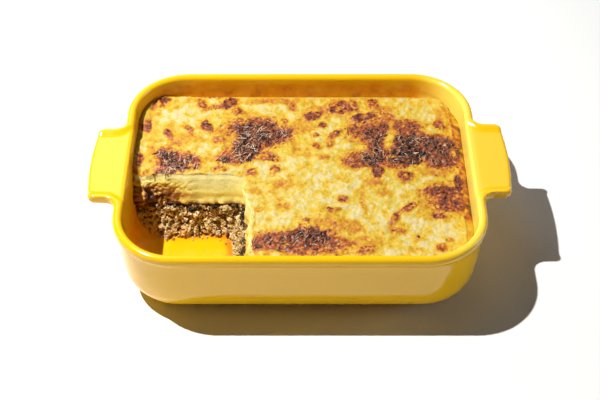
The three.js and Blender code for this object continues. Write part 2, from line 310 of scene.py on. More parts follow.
# %% Spots of the loop
def rim_spots():
    """For each spot of the loop: its base point, its outward direction, and its place on the outline."""
    x, y = RIM_HALF_LENGTH - CORNER_RADIUS, RIM_HALF_DEPTH - CORNER_RADIUS
    reach = HANDLE_HALF_WIDTH + HANDLE_FILLET
    spots = []
    sides = [((x, -y), (x, y), (1, 0), SHORT_SIDE_SPOTS), ((x, y), (-x, y), (0, 1), LONG_SIDE_SPOTS),
             ((-x, y), (-x, -y), (-1, 0), SHORT_SIDE_SPOTS), ((-x, -y), (x, -y), (0, -1), LONG_SIDE_SPOTS)]
    for start, end, outward, count in sides:
        start, end, outward = Vector(start), Vector(end), Vector(outward)
        for step in range(count):
            base = start.lerp(end, step / count)
            edge = base + outward * CORNER_RADIUS
            shift = HANDLE_SHIFT * outward.x
            share = ((base.y - shift) * outward.x + reach) / (2 * reach)
            if outward.x and 0 < share < 1:
                local = on_outline(share)
                edge = Vector((local.x * outward.x, local.y * outward.x + shift))
            spots.append((base, outward, edge))
        turn = math.atan2(outward.y, outward.x)
        for step in range(CORNER_SPOTS):
            angle = turn + step / CORNER_SPOTS * math.pi / 2
            outward_now = Vector((math.cos(angle), math.sin(angle)))
            spots.append((end.copy(), outward_now, end + outward_now * CORNER_RADIUS))
    return spots


SPOTS = rim_spots()
print("spots in the loop:", len(SPOTS))

# %% [markdown]
# The rings follow the dish's section. A potter would call them foot, wall, lip and well. The lip is
# half round; the handles are thinner, with a raised bead along their short sides and a shallow dip
# between the beads, which the glaze makes soft.

# %% Rings of lip and handles
def ring(inset, level):
    """The loop at an even inset from the rim's outline, at one level."""
    return [(*(base + outward * (CORNER_RADIUS - inset)), level) for base, outward, _ in SPOTS]


def round_off(distance, radius):
    """How far a rounded edge has fallen at a distance inside its outline."""
    left = max(0.0, radius - distance)
    return radius - math.sqrt(max(0.0, radius * radius - left * left))


def under_ring(share):
    """The loop on the underside of the lip and the handles, from the wall to the outer edge."""
    points = []
    for base, outward, edge in SPOTS:
        wall = base + outward * (CORNER_RADIUS - LIP_OVERHANG)
        place = wall.lerp(edge, share)
        fall = round_off((edge - place).length, LIP_UNDERSIDE_ROUND)
        points.append((*place, HANDLE_UNDERSIDE + fall))
    return points


def top_ring(share):
    """The loop on the top of the lip and the handles, from the outer edge to the inside of the dish."""
    points = []
    for base, outward, edge in SPOTS:
        inner = base + outward * (CORNER_RADIUS - RIM_WIDTH)
        place = edge.lerp(inner, share)
        on_handle = even_step(RIM_WIDTH + 0.6, RIM_WIDTH + 6, (edge - inner).length)
        crest = RIM_HEIGHT
        if on_handle > 0:
            side = 1 if outward.x > 0 else -1
            to_side = distance_to_sides(place.x * side, place.y * side - HANDLE_SHIFT)
            crest -= on_handle * HANDLE_DIP * even_step(BEAD_WIDTH, BEAD_WIDTH + BEAD_FALL, to_side)
        radius = RIM_WIDTH / 2 + on_handle * (HANDLE_EDGE_ROUND - RIM_WIDTH / 2)
        nearest = min((place - edge).length, (place - inner).length)
        points.append((*place, crest - round_off(nearest, radius)))
    return points


# %% All rings of the dish
def taper_at(level):
    """How far the wall stands in from the rim at a level."""
    return WALL_TAPER * (1 - level / RIM_HEIGHT)


def dish_rings():
    """All loops of the dish in order, from the middle of its base round to the middle of its floor."""
    rings = [ring(inset, 0) for inset in BASE_INSETS]
    for angle in [step / 10 * math.pi / 2 for step in range(11)]:
        level = BASE_CURVE * (1 - math.cos(angle))
        rings.append(ring(taper_at(level) + LIP_OVERHANG + BASE_CURVE * (1 - math.sin(angle)), level))
    for level in WALL_LEVELS:
        flare = 1 - (level / WALL_LEVELS[-1]) ** 3 * 0.15
        rings.append(ring(taper_at(level) + LIP_OVERHANG * flare, level))
    rings += [under_ring(share) for share in (0, 0.25, 0.5, 0.75, 0.9, 0.97, 1)]
    rings += [top_ring((1 - math.cos(step / 16 * math.pi)) / 2) for step in range(17)]
    for level in (*WELL_LEVELS, FLOOR_THICKNESS + FLOOR_CURVE):
        rings.append(ring(RIM_WIDTH + taper_at(level), level))
    for angle in [step / 10 * math.pi / 2 for step in range(1, 11)]:
        level = FLOOR_THICKNESS + FLOOR_CURVE * (1 - math.sin(angle))
        rings.append(ring(RIM_WIDTH + taper_at(level) + FLOOR_CURVE * (1 - math.cos(angle)), level))
    return rings + [ring(FLOOR_INSET, FLOOR_THICKNESS)]


DISH_RINGS = dish_rings()
print("rings:", len(DISH_RINGS))

# %% [markdown]
# Now the loop is extruded by hand, as it were: a circle is added, its points are put on the first
# ring, and each further ring is one extrusion of all its edges. The last ring is closed with a face.

# %% Extrude the dish
def place_loop(mesh, layer, points):
    """Moves each selected point of the loop to its place."""
    for vertex in mesh.verts:
        if vertex.select:
            vertex.co = Vector(points[vertex[layer]]) * MM


def loft_piece(rings):
    """A closed piece made by extruding one loop of points through all rings."""
    deselect_all()
    bpy.ops.mesh.primitive_circle_add(vertices=len(rings[0]), radius=0.1, fill_type="NGON")
    piece = bpy.context.object
    mesh = open_edit(piece, "EDGE", "DESELECT")
    layer = mesh.verts.layers.int.new("spot")
    for index, vertex in enumerate(mesh.verts):
        vertex[layer] = index
    for edge in mesh.edges:
        edge.select_set(True)
    place_loop(mesh, layer, rings[0])
    for points in rings[1:]:
        bpy.ops.mesh.extrude_edges_move()
        mesh = bmesh.from_edit_mesh(piece.data)
        place_loop(mesh, mesh.verts.layers.int["spot"], points)
        bmesh.update_edit_mesh(piece.data)
    bpy.ops.mesh.edge_face_add()
    bpy.ops.mesh.select_all(action="SELECT")
    bpy.ops.mesh.normals_make_consistent(inside=False)
    bpy.ops.object.mode_set(mode="OBJECT")
    return piece


dish = loft_piece(DISH_RINGS)
print("dish size mm:", [round(v / MM, 1) for v in dish.dimensions])

# %% [markdown]
# The food starts from the imported solids, which already have the right outlines. Sculpting by hand
# would do too, but it would not come out the same each time. So a copy is covered with small even
# faces by a voxel remesh and smoothed, and the relief of the real surface is then worked into its
# points. The underside, which lies hidden on the mince, gets one single face to keep the piece light.

# %% Copy a imported solid
def copy_of(node_name):
    """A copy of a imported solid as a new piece, with its doubled points merged."""
    piece = add_object(node_name + "_copy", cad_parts[node_name].data.copy())
    open_edit(piece, "VERT", "SELECT")
    bpy.ops.mesh.remove_doubles(threshold=0.001 * MM)
    bpy.ops.object.mode_set(mode="OBJECT")
    return piece


# %% Even faces
def apply_modifier(piece, kind, **settings):
    """Adds one modifier with its settings and applies it."""
    activate(piece)
    modifier = piece.modifiers.new(kind.title(), kind)
    for name, value in settings.items():
        setattr(modifier, name, value)
    bpy.ops.object.modifier_apply(modifier=modifier.name)


def even_faces(piece, cell, smoothing):
    """Covers a piece with even faces of one size in millimetres, and smooths its facets away."""
    apply_modifier(piece, "REMESH", mode="VOXEL", voxel_size=cell * MM)
    apply_modifier(piece, "SMOOTH", factor=0.5, iterations=smoothing)


def single_bottom_face(piece, level):
    """Replaces the small faces of a hidden flat bottom by one face."""
    mesh = open_edit(piece, "FACE", "DESELECT")
    for face in mesh.faces:
        face.select_set(face.normal.z < -0.97 and abs(face.calc_center_median().z / MM - level) < 0.35)
    bpy.ops.mesh.delete(type="FACE")
    bpy.ops.mesh.select_mode(type="VERT")
    bpy.ops.mesh.select_all(action="SELECT")
    bpy.ops.mesh.fill_holes(sides=0)
    bpy.ops.object.mode_set(mode="OBJECT")


# %% [markdown]
# Relief is worked in with numbers: all points of a piece are read at once, moved along their normals
# by some noise, and written back. A number that the finish needs later, such as how brown a spot is,
# is kept at each point as an attribute. Noise sizes are those of the real bumps, in millimetres.

# %% Points, attributes and noise
def points_of(piece):
    """All points of a piece in millimetres, and their normals."""
    count = len(piece.data.vertices)
    places, normals = np.empty(count * 3), np.empty(count * 3)
    piece.data.vertices.foreach_get("co", places)
    piece.data.vertices.foreach_get("normal", normals)
    return places.reshape(-1, 3) / MM, normals.reshape(-1, 3)


def move_points(piece, places):
    """Puts all points of a piece at new places in millimetres."""
    piece.data.vertices.foreach_set("co", (places * MM).ravel())
    piece.data.update()


def write_attribute(piece, name, values):
    """Keeps one number for each point, for the piece's material to read."""
    attribute = piece.data.attributes.new(name, "FLOAT", "POINT")
    attribute.data.foreach_set("value", np.asarray(values, dtype=np.float32))


def soft_noise(places, size, seed=0):
    """Blender's own noise, about -1 to 1, with bumps of one size in millimetres."""
    shifted = places / size + seed * 13.7
    return np.array([noise.noise(p) for p in shifted.tolist()])


# %% [markdown]
# The glaze is stained near the pie, and the crust bakes on to the wall. Both need to know how far a
# point is from the inside of the dish. The wall is a rounded rectangle that narrows towards the floor,
# so the gap can be worked out for all points at once, without measuring against a mesh.

# %% Distance to the dish's wall
def gap_to_wall(places):
    """The gap in plan to the dish's inner wall, and the direction to it."""
    radius = CORNER_RADIUS - RIM_WIDTH - taper_at(places[:, 2])
    half = np.array([RIM_HALF_LENGTH - CORNER_RADIUS, RIM_HALF_DEPTH - CORNER_RADIUS])
    beyond = np.abs(places[:, :2]) - half
    outside = np.maximum(beyond, 0)
    length = np.hypot(outside[:, 0], outside[:, 1])
    corner = outside / np.maximum(length, 1e-6)[:, None]
    side = np.where((beyond[:, 0] > beyond[:, 1])[:, None], (1.0, 0.0), (0.0, 1.0))
    heading = np.where((length > 1e-6)[:, None], corner, side) * np.sign(places[:, :2])
    distance = np.where(length > 1e-6, length, beyond.max(axis=1)) - radius
    return -distance, heading


# %% [markdown]
# Glaze is a thin coat of coloured glass: it mirrors the lamp sharply, and it pools a little, so its
# mirror image wavers. Inside the dish the yellow turns orange. This is partly fat that spat out of the
# pie and baked on, and partly painted shade, above all on the back wall, which lies in shade, and most
# where the crust is near. It is a number at each point of the dish, broken up by noise, that slides a
# colour ramp from clean to orange. A painted texture would do the same, but it would need an unwrapped
# surface. A second number paints light: a paler yellow on the lit right wall and lip.

# %% Where fat has baked on the glaze, with painted shade and painted light
STAIN_AND_SHADE = 0.62

dish_places, dish_normals = points_of(dish)
x, y, z = dish_places.T
_, to_glaze = gap_to_wall(dish_places)
facing_in = even_step(0.2, 0.6, -(dish_normals[:, :2] * to_glaze).sum(axis=1))
# Painted shade, with some baked-on fat: orange on the inner walls that lie in shade, not on the lit right one.
stain_and_shade = facing_in * even_step(64, 56, z) * even_step(119, 100, x)
stain_and_shade *= 1 - 0.75 * even_step(-42, -68, y)
stain_and_shade *= STAIN_AND_SHADE * even_step(6, 16, z) * even_step(-122, -104, x)
# A smear of gravy at the left end of the cut, lower towards the front.
smeared = np.exp(-(((z - (38 + 0.25 * y)) / 13) ** 2)) * even_step(-100, -112, x)
smeared *= even_step(8, -6, y) * even_step(-70, -30, y)
write_attribute(dish, "stain_and_shade", stain_and_shade + STAIN_AND_SHADE * smeared * facing_in)
# Painted light: a paler yellow on the lit right inner wall and on the right of the lip.
on_lip = even_step(0.1, 0.5, dish_normals[:, 2]) * even_step(58, 62, z) * even_step(128, 124, x)
painted_light_right = even_step(84, 117, x) * even_step(20, 42, z) * np.maximum(facing_in, 0.4 * on_lip)
write_attribute(dish, "painted_light_glaze", painted_light_right)
print("stained share:", round(float((stain_and_shade > 0.2).mean()), 3))

# %% Glaze
# Fired glaze is glass: a low roughness and the index of glass give small, bright reflections.
# On the lit right wall and lip a paler, milkier yellow is mixed in: painted light.
# The orange of painted shade and baked-on fat has blotches of about 9 mm, and the waves where glaze pooled are
# 17 mm long.
paint, shader = new_material("Yellow glossy glaze on stoneware", {"Roughness": 0.14, "IOR": 1.52})
place = add_node(paint, "TexCoord", out="Object")
shade_and_stain, painted_light_glaze = [add_node(paint, "Attribute", out="Fac", attribute_name=name)
                       for name in ("stain_and_shade", "painted_light_glaze")]
streaks = add_node(paint, "TexNoise", {"Vector": place, "Scale": 1 / (9 * MM), "Detail": 4, "Roughness": 0.6})
patchy = add_node(paint, "MapRange", [streaks, 0.35, 0.65, 0.5, 1.1])
stain_and_shade_tone = add_node(paint, "Math", [shade_and_stain, patchy], operation="MULTIPLY")
stain_and_shade_colour = add_node(paint, "ValToRGB", [stain_and_shade_tone], stops=[
    (0.00, "#F5BE10"), (0.30, "#F2A80E"), (0.55, "#E8940E"), (0.75, "#C06A10"), (1.0, "#7A3A0C")])
glaze_colour = add_node(paint, "Mix", {0: painted_light_glaze, 6: stain_and_shade_colour, 7: linear("#FFE662")},
                        out=2, data_type="RGBA")
waves = add_node(paint, "TexNoise", {"Vector": place, "Scale": 1 / (17 * MM), "Detail": 1})
pooled = add_node(paint, "Bump", {"Height": waves, "Strength": 0.25, "Distance": 0.5 * MM})
fill_in(shader, {"Base Color": glaze_colour, "Normal": pooled})
finish_piece(dish, "glazed_baking_dish", paint, ["baking_dish"])

# %% [markdown]
# What browns on the real crust is melted cheese. It browns where it stands highest, in blisters and in
# a few large patches, so the browning is a list of soft ellipses in plan. Each row gives a place, two
# half widths, a turn in degrees and how dark it gets. Noise makes their borders ragged.

# %% Browned places
LARGE_PATCHES = [
    # the long patch left of the middle: reddish surround, then dark heart
    (-33, 50, 19, 9, 5, 0.50), (-15, 42, 9, 11, -60, 0.54), (-34, 32, 19, 11, 35, 0.54),
    (-46, 20, 13, 7, 20, 0.52), (-47, 16, 10, 5, 15, 0.60), (-30, 20, 9, 6, 0, 0.44), (-52, 46, 7, 8, 90, 0.36),
    (-38, 46, 9, 7, 10, 0.78), (-41, 38, 6, 7, 0, 0.86), (-31, 38, 9, 7, 45, 0.88),
    (-42, 28, 9, 6, 30, 0.86), (-34, 26, 6, 6, 0, 0.80), (-40, 18, 7, 4.5, 0, 0.78),
    (-55, 14.5, 5, 3, 0, 0.80), (-21, 40, 9, 7, 45, 0.80), (-14, 40, 5, 6, 20, 0.66),
    (-24, 52, 7, 5, -20, 0.60),
    # the patch near the left wall
    (-90, 13, 15, 10, -10, 0.54), (-99, 22, 6, 7, 90, 0.50), (-96, 3, 9, 6, 20, 0.56),
    (-77, 11, 5, 7, 0, 0.52), (-94, 17, 8, 5, -15, 0.80), (-88, 11, 6, 7, 0, 0.78),
    (-96, 4, 7, 4, 20, 0.72), (-81, 15, 4, 5, 0, 0.64),
    # the large group at the back right
    (50, 44, 13, 10, 0, 0.54), (43, 46, 7, 6, 0, 0.48), (80, 30, 15, 17, 0, 0.60),
    (58, 25, 8, 15, 0, 0.62), (100, 29, 14, 11, 0, 0.62), (103, 14, 11, 8, 0, 0.62),
    (40, 14, 8, 8, 0, 0.50), (54, 15, 11, 9, 0, 0.62), (68, 10, 11, 5, 0, 0.50),
    (80, 50, 11, 7, 0, 0.50), (60, 56, 8, 9, 0, 0.38), (55, 42, 8, 6, 20, 0.76),
    (61, 47, 6, 4, 50, 0.84), (57, 30, 5, 8, 0, 0.74), (57, 23, 5, 5, 0, 0.80),
    (80, 34, 11, 9, 0, 0.88), (80, 23, 12, 6, 0, 0.92), (78, 15, 14, 4, 0, 0.90),
    (50, 14, 5, 6, 0, 0.88), (56, 16, 7, 5, 0, 0.84), (98, 32, 10, 5, 0, 0.84),
    (106, 30, 6, 8, 0, 0.78), (104, 15, 8, 5, 0, 0.74), (56, 3, 4, 7, 0, 0.72), (92, 22, 6, 7, 0, 0.72),
    # the patch at the right wall
    (103, -24, 14, 13, 0, 0.46), (107, -30, 9, 8, 0, 0.52), (101, -17, 12, 4, 0, 0.74),
    (101, -27, 4, 5, 0, 0.66), (108, -34, 7, 4, 10, 0.60), (113, -9, 2.6, 9, 0, 0.68),
    # the long patch along the front
    (-20, -66, 15, 8, 8, 0.54), (5, -64, 18, 11, 8, 0.58), (22, -66, 12, 6, -15, 0.50),
    (0, -72, 14, 5, 0, 0.46), (12, -61, 9, 6, -10, 0.74), (3, -60, 7, 5, 20, 0.66),
    (-10, -61, 9, 4, 15, 0.62), (-27, -69, 6, 5, 20, 0.60), (10, -67, 8, 4, 0, 0.70),
    (20, -50, 14, 6, -10, 0.30), (8, -74, 20, 4, 0, 0.36),
]
BLISTERS = [
    (-113.5, 51, 6.5, 2.2, 90, 0.66), (-98, 42, 5.5, 2.6, 115, 0.56), (-70, 50, 7, 3.6, 110, 0.66),
    (-83, 47, 4, 2.4, 120, 0.48), (-75, 75, 6, 3, 110, 0.48), (-65, 72, 6, 2.6, 10, 0.40),
    (-54, 77, 7, 5, 50, 0.70), (-48, 66, 4, 4.6, 0, 0.54), (-66, 84, 8, 1.6, 0, 0.52),
    (-117, 12, 8, 2, 80, 0.66), (-106, -2, 4, 2, 20, 0.56), (-35, 2, 3.6, 3.6, 0, 0.46),
    (-18, 5, 4, 3.4, 60, 0.48), (-58, 5, 5, 3, 0, 0.40), (-104, 79, 5, 2.6, 20, 0.52),
    (-108, 74, 9, 4, 40, 0.38), (-12, 58, 3, 2.6, 0, 0.40), (-20, 16, 5, 3, 0, 0.46),
    (-7, 75, 3, 5, 20, 0.38), (8, 62, 4.5, 5, 0, 0.68), (13.5, 64, 3, 4, 0, 0.52),
    (17, 52, 3.6, 3, 20, 0.54), (26, 42, 6, 3, 40, 0.58), (11, 41, 3, 2, 0, 0.44),
    (12, 28, 3, 4, 10, 0.46), (22, 32, 2.4, 4, 0, 0.36), (17, 16, 4, 2.4, 0, 0.42),
    (30, 72, 9, 8, 0, 0.52), (40, 74, 5, 6, 0, 0.48), (48, 61, 9, 4, 15, 0.66),
    (56, 75, 4, 7, 0, 0.48), (104, 52, 5, 3.6, -20, 0.52), (76, -2, 6, 5, 0, 0.54),
    (97, -42, 5, 2.6, -15, 0.58), (77, -33, 6.5, 3, 35, 0.54), (66, -43, 6, 2.4, 65, 0.44),
    (68, -55, 4.5, 2.6, 0, 0.42), (30, -25, 3.6, 3, 0, 0.50), (45, -31, 2, 7, 10, 0.32),
    (24, -36, 4, 2, 20, 0.42), (21, -34.5, 2, 1, -30, 0.95), (5, -46, 2, 2, 0, 0.54),
    (45, -73, 8, 3.4, 15, 0.44), (96, -71, 4, 3, 30, 0.46), (102, -64, 2.4, 2, 0, 0.38),
    (81, -61, 1.1, 1.1, 0, 0.95), (-60, 36, 5, 4, 60, 0.40), (-57, 33, 3, 3, 0, 0.34),
]
GOLDEN_PLACES = [
    (-12, -10, 12, 5, 0, 0.24), (-32, -17, 6, 4, 0, 0.28), (-12, -33, 6, 4, 0, 0.22),
    (-30, -35, 5, 3, 0, 0.28), (36, -52, 6, 6, 0, 0.28), (30, -5, 4, 5, 0, 0.24),
    (53, -9, 7, 5, 0, 0.28), (60, -18, 5, 4, 0, 0.22), (-85, 36, 12, 7, 0, 0.26),
    (-57, 60, 10, 6, 20, 0.20), (0, 30, 10, 12, 0, 0.20), (100, 3, 12, 5, 0, 0.26),
    (60, 62, 12, 14, 0, 0.30), (16, 68, 16, 7, 0, 0.27), (-18, 79, 24, 4, 0, 0.28),
    (-38, 62, 8, 5, 0, 0.25), (2, 52, 9, 8, 0, 0.25), (108, 60, 5, 12, 0, 0.28), (90, -30, 10, 8, 30, 0.24),
    (18, -50, 14, 9, 0, 0.22), (45, -66, 14, 6, 10, 0.24), (-110, 30, 4, 18, 0, 0.20),
]
# Here the dark crust has come off.
BARE_PLACES = [(66, 34, 8, 3.4, 75, 1.0)]
# Here the cheese stayed paler than its surroundings.
CREAMY_PLACES = [
    (-98, 66, 14, 14, 0, 1), (-64, 60, 10, 6, 0, 1), (-23, 72, 9, 5, 30, 1), (-12, 55, 7, 8, 0, 1),
    (-26, 8, 8, 7, 0, 1), (-72, 26, 12, 5, 0, 1), (-114, 32, 4, 10, 0, 1), (-70, 0, 24, 4, 0, 1),
    (-33, -8, 6, 9, 0, 1), (15, -12, 6, 10, 0, 1), (0, -48, 22, 6, 0, 1), (88, -60, 12, 10, 0, 1),
    (70, -70, 16, 6, 0, 1), (96, 46, 8, 6, 0, 1), (50, -35, 12, 8, 0, 1),
    (35, -10, 8, 10, 0, 1), (-37, -40, 3, 42, 0, 1.3), (4, 34, 5, 7, 0, 1),
]


# %% Browning
def along_and_across(x, y, degrees):
    """Distances along and across a heading in plan."""
    angle = math.radians(degrees)
    return x * math.cos(angle) + y * math.sin(angle), y * math.cos(angle) - x * math.sin(angle)


def shred_ridges(places, spacing, seed):
    """Thin crossing ridges, as of melted shreds: 1 on a ridge, 0 between."""
    ridges = np.zeros(len(places))
    for index, degrees in enumerate((15, 75, 135)):
        along, across = along_and_across(places[:, 0], places[:, 1], degrees)
        wave = soft_noise(np.column_stack([along / 4, across, 0 * across]), spacing, seed + index)
        ridges = np.maximum(ridges, np.clip(1 - np.abs(wave) * 5, 0, 1))
    return ridges


def in_ellipse(places, row, ragged, softness):
    """How far inside a soft ellipse each point lies: 1 in its heart, 0 outside."""
    x, y, half_length, half_width, turn, _ = row
    along, across = along_and_across(places[:, 0] - x, places[:, 1] - y, turn)
    out = np.hypot(along / half_length, across / half_width)
    return 1 - even_step(1.05 - softness, 1.05 + softness, out + ragged)


def strongest(places, rows, ragged, softness):
    """The strongest of a list of ellipses at each point."""
    return np.max([row[5] * in_ellipse(places, row, ragged, softness) for row in rows], axis=0)


def browning_at(places, ridges):
    """How brown the crust is at each point, and how far that point is inside a blister."""
    coarse, fine = soft_noise(places, 4.2, 5), soft_noise(places, 1.7, 6)
    ragged = 0.30 * coarse + 0.26 * fine - 0.30 * (ridges - 0.35)
    brown = np.maximum(strongest(places, LARGE_PATCHES, ragged, 0.32),
                       strongest(places, GOLDEN_PLACES, ragged, 0.5))
    # A blister browns at its rim more than in its sunken middle, inside a faint halo.
    dome = np.zeros(len(places))
    for row in BLISTERS:
        inside = in_ellipse(places, row, ragged * 0.8, 0.30)
        halo = in_ellipse(places, row, ragged * 0.8 - 0.45, 0.4)
        sunken = in_ellipse(places, row, 0.6, 0.3)
        brown = np.maximum(brown, np.maximum(row[5] * inside * (1 - 0.22 * sunken), 0.22 * halo))
        if row[5] > 0.4:
            dome = np.maximum(dome, inside)
    # Round a large patch the cheese is golden, with small brown specks.
    near = np.max([in_ellipse(places, row, -0.45, 0.4) for row in LARGE_PATCHES], axis=0)
    specks = even_step(0.18, 0.5, soft_noise(places, 3.1, 8))
    brown = np.maximum(brown, near * np.maximum(specks * 0.50, 0.20 + 0.12 * coarse))
    brown *= 1 - 0.6 * strongest(places, BARE_PLACES, ragged * 0.5, 0.3)
    creamy = strongest(places, CREAMY_PLACES, ragged, 0.5)
    return brown - 0.11 * creamy * even_step(0.35, 0.2, brown), dome


print("browned places:", len(LARGE_PATCHES) + len(BLISTERS) + len(GOLDEN_PLACES))

# %% [markdown]
# Crust and mash are one body on the real pie, with a rounded edge where the spoon cut it, so both are
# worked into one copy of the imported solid. The crust's relief has four parts: soft swells, the ridges
# of melted shreds of cheese in three directions, blisters that rose and sank again in the middle, and
# the rough net of the burnt patches. The relief grows only on the flat top, because a lip that stands
# out over the cut would throw a dark line on the mash.
# x, y and z look into the table of all points, so what is added to them moves the points.

# %% Mash with its crust
TOPPING_CELL = 0.82
MASH_BOTTOM = 30
RIDGE_SPACING = 2.6

topping = copy_of("potato_layer")
even_faces(topping, TOPPING_CELL, smoothing=7)
single_bottom_face(topping, MASH_BOTTOM)
places, normals = points_of(topping)
x, y, z = places.T
print("points to work on:", len(places))

# %% Relief of the crust
ridges = shred_ridges(places, RIDGE_SPACING, seed=11)
brown, dome = browning_at(places, ridges)
swell, lumps = soft_noise(places, 12, 1), soft_noise(places, 5.2, 2)
rough, fine = soft_noise(places, 2.4, 3), soft_noise(places, 1.5, 4)
burnt = even_step(0.42, 0.75, brown)
crust_rise = 0.5 * swell + 0.65 * lumps + 0.35 * ridges + 0.45 * rough + 0.6 * dome
crust_rise += burnt * (0.9 * ridges + 0.45 * rough - 0.5)
# The crust is what faces up and lies above 44 to 46 mm.
crust_share = even_step(0.62, 0.85, normals[:, 2]) * even_step(44, 46, z)
flat_top = even_step(0.80, 0.97, normals[:, 2]) * crust_share
print("crust rises from", round(float(crust_rise.min()), 1), "to", round(float(crust_rise.max()), 1), "mm")

# %% [markdown]
# The spoon drew the cut mash into long level smears, a few tenths of a millimetre deep. At the left end
# it tore, and picked up gravy. At its foot the mash sank between the crumbs of mince, so its lowest
# few millimetres bulge unevenly.

# %% Relief of the cut mash
smear = soft_noise(places * (0.05, 0.2, 1), 5, 21) + 0.25 * soft_noise(places * (0.07, 0.3, 1), 2.2, 24)
crumble = soft_noise(places, 2.8, 22)
torn = even_step(-70, -102, x + 5 * crumble) * even_step(50, 43, z)
cut_rise = 0.5 * smear + 0.06 * crumble + torn * (1.6 * crumble + 0.9 * fine) - 0.3
foot = even_step(38, 31, z) * (1 - crust_share)
foot_lumps = soft_noise(places * (1, 1, 0.6), 4.5, 27)
rise = crust_rise * flat_top + (cut_rise + foot * (1.6 * foot_lumps - 0.2)) * (1 - crust_share)
rise *= even_step(30.1, 31, z)
print("cut mash rises from", round(float(cut_rise.min()), 1), "to", round(float(cut_rise.max()), 1), "mm")

# %% [markdown]
# Cheese melts on to the hot wall and sticks there, so the crust's margin touches the glaze all round.
# At the left it stands higher and climbs the wall in a fillet, which leaves no dark gap beside it.

# %% Baked-on edge
def at_left(heading):
    """How much a point's nearest wall is the left one."""
    return even_step(-0.3, -0.8, heading[:, 0])


gap, heading = gap_to_wall(places)
to_wall = even_step(0.3, 0.7, (normals[:, :2] * heading).sum(axis=1)) * even_step(13, 9, gap)
margin_top = 50.5 + 2.5 * at_left(heading)
push = np.maximum(gap - 0.1, 0) * to_wall * even_step(0, -3.5, z - margin_top)
rise *= 1 - to_wall
z += 2.6 * to_wall * at_left(heading) * even_step(45, 50, z)
places += normals * rise[:, None]
places[:, :2] += heading * push[:, None]
gap, heading = gap_to_wall(places)
climb = even_step(5.5, 0.2, gap) ** 1.6 * at_left(heading) * even_step(44, 49, z)
z += (1.8 + 1.6 * lumps) * climb
gap, heading = gap_to_wall(places)
touching = even_step(1.6, 0.8, gap) * at_left(heading) * even_step(46, 50, z)
places[:, :2] += heading * ((gap + 0.2) * touching)[:, None]
print("crust climbs to", round(float(z.max()), 1), "mm")

# %% [markdown]
# The cut's inner corner is sharper than a voxel remesh can leave it, so it is drawn in again, and its
# long edges waver as a spoon's do. Towards the front, the right face leans back at its top. At the
# torn left end, the crust's corner has sunk.

# %% Edges of the cut
MASH_TOP = 51
CUT_X, CUT_TURN = -39.5, 0.045
CUT_FOOT_Y, CUT_TOP_Y = -11, 0

# The right face stands at CUT_X and turns a little with y; the back face leans, from its foot to its top.
into_x = CUT_X - CUT_TURN * y - x
into_y = np.interp(z, (MASH_BOTTOM, MASH_TOP), (CUT_FOOT_Y, CUT_TOP_Y)) - y
sharpen = 0.75 * np.clip(np.minimum(into_x, into_y), 0, 3) * even_step(9, 6, np.maximum(into_x, into_y))
places[:, :2] += sharpen[:, None]
right_face = even_step(-52, -44, x) * even_step(-30, -36, x) * even_step(4, -2, y)
x += right_face * 3.2 * soft_noise(places * (0, 1, 0.3), 7, 25)
lean = even_step(32, 50, z) * even_step(-22, -36, y)
x += right_face * lean * (3.2 + 0.8 * soft_noise(places, 9, 28))
back_face = even_step(-36, -42, x) * even_step(9, 3, y)
y += back_face * 0.9 * soft_noise(places * (1, 0, 0.3), 11, 26)
corner = even_step(-92, -112, x) * even_step(12, -1, y) * even_step(42, 49, z)
z -= corner * (2.6 + 2.4 * crumble)
print("corner sinks by up to", round(float((corner * (2.6 + 2.4 * crumble)).max()), 1), "mm")

# %% [markdown]
# Now each point gets its tones: how brown its crust is, and how dark its mash is. The hollows between
# the bumps are painted browner, as painted shade. The margin is painted pale, as painted light in the
# wall's shade, but browner up the left wall and at the right wall, and a dark line runs along the
# crust's right end. The mash is darker at its foot and in a band halfway up, as painted shade, and
# gravy browns its torn end.

# %% Tones of crust and mash
FRONT_RIGHT = (-52, -38)

# Painted shade: the hollows between the bumps are made browner.
brown = brown + 0.06 - 0.18 * lumps - 0.12 * rough * (1 - burnt)
brown += even_step(0.26, 0.5, brown) * (0.09 + 0.38 * fine + 0.26 * rough - 0.26 * ridges)
brown = np.maximum(brown, corner * (0.30 + 0.30 * rough + 0.2 * fine))
# Painted light: the margin by the wall is painted pale, which lifts the wall's shade on it; at the right wall
# it is browner.
edge = to_wall * even_step(40, 46, z)
at_right = even_step(0.5, 0.9, heading[:, 0]) * even_step(70, 40, y) * even_step(*FRONT_RIGHT, y)
edge_tone = 0.12 + at_right * (0.26 + 0.5 * lumps)
brown = brown * (1 - edge) + edge * (edge_tone + 0.12 * fine + 0.12 * rough)
crust_end = np.interp(y, (-80, 0, 80), (114.6, 117.2, 114))
end_line = even_step(-3.4, -1.4, x - crust_end) * even_step(*FRONT_RIGHT, y) * even_step(74, 62, y)
brown = np.maximum(brown, end_line * (0.44 + 0.5 * lumps + 0.2 * rough))
brown = np.maximum(brown, np.minimum(1, 2.2 * climb) * (0.22 + 0.16 * rough + 0.06 * fine))
# Painted shade on the cut mash: darkest at its foot, by the recess under it, and darker in a band about 36 mm
# up, as a groove would shade it.
painted_shade_by_depth = np.interp(z + 2.2 * foot * foot_lumps, (MASH_BOTTOM, 30.8, 32, 34, 36.3, 39, 44, MASH_TOP),
                       (0.85, 0.62, 0.26, 0.30, 0.50, 0.30, 0.12, 0.02))
torn_tone = 0.45 + 0.10 * even_step(-100, -110, x) + 0.36 * crumble
mash_tone = np.clip(painted_shade_by_depth + 0.05 * smear + torn * torn_tone, 0, 1)
move_points(topping, places)
for name, values in (("browning", brown), ("ridge", ridges), ("tone", mash_tone),
                     ("crust", np.maximum(crust_share, edge))):
    write_attribute(topping, name, values)
print("browned share:", round(float((brown > 0.4).mean()), 3))
